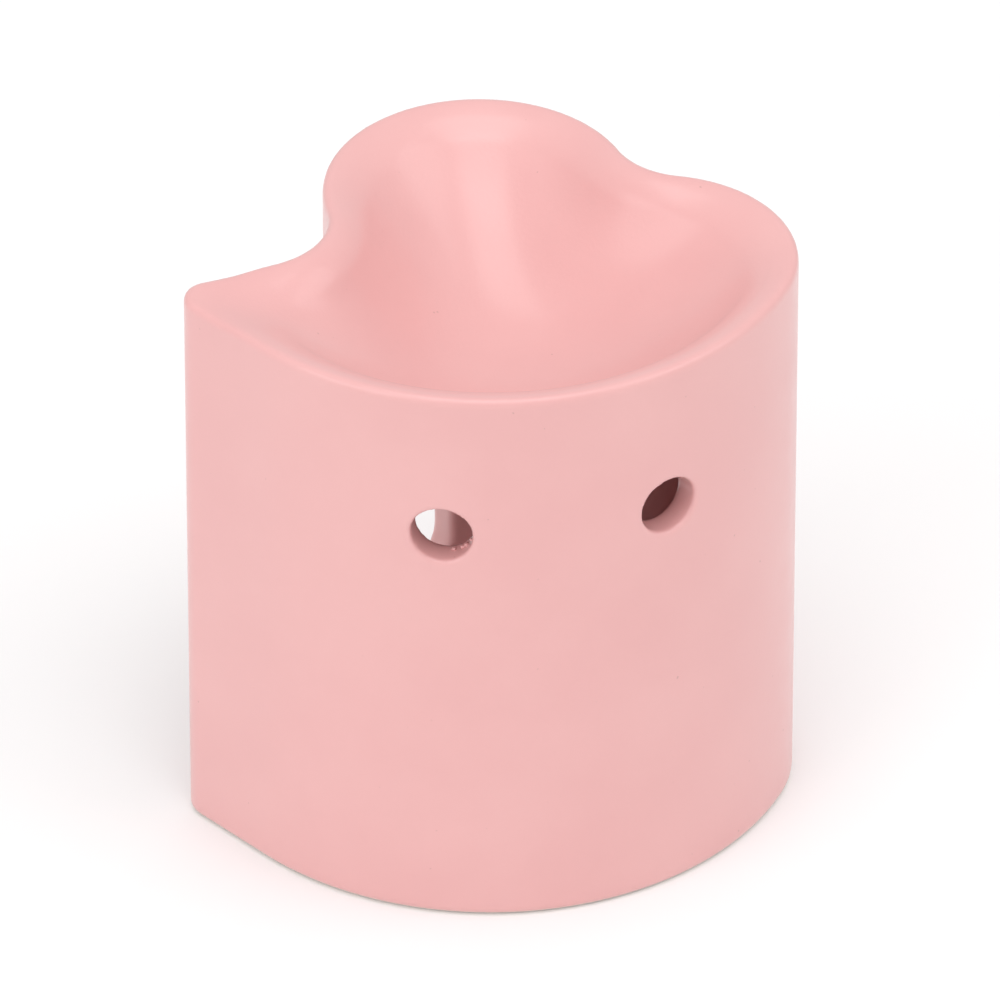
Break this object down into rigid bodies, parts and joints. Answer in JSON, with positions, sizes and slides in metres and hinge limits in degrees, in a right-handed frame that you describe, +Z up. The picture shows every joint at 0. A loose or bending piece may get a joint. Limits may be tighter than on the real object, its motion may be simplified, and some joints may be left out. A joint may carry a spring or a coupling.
{
  "type": "tealight wax burner",
  "caption": "One-piece glazed ceramic wax burner: lobed melting basin on a hollow body with two round vents and a rear window, and a tealight standing inside.",
  "frame": {"origin": "centre of the bounding box at the foot's underside", "axes": "+Z up; +Y towards the side with the window; -Y towards the round front wall and its vent"},
  "size_m": [0.0898, 0.0837, 0.103],
  "materials": {
    "glazed_ceramic": "satin pink glaze on a cast ceramic body",
    "cup_aluminium": "bright drawn foil",
    "candle_wax": "translucent paraffin",
    "sustainer_tin": "tinned plate",
    "wick_cotton": "waxed cotton braid"
  },
  "bodies": {
    "burner": {"ceramic_body": "glazed_ceramic"},
    "tealight": {"tealight_cup": "cup_aluminium", "tealight_wax": "candle_wax", "wick_sustainer": "sustainer_tin", "tealight_wick": "wick_cotton"}
  },
  "joints": [
    {"name": "tealight_draw_out", "type": "slide", "parent": "burner", "child": "tealight", "axis": [0, 0.9962, 0.0872], "range_m": [0, 0.07]}
  ]
}
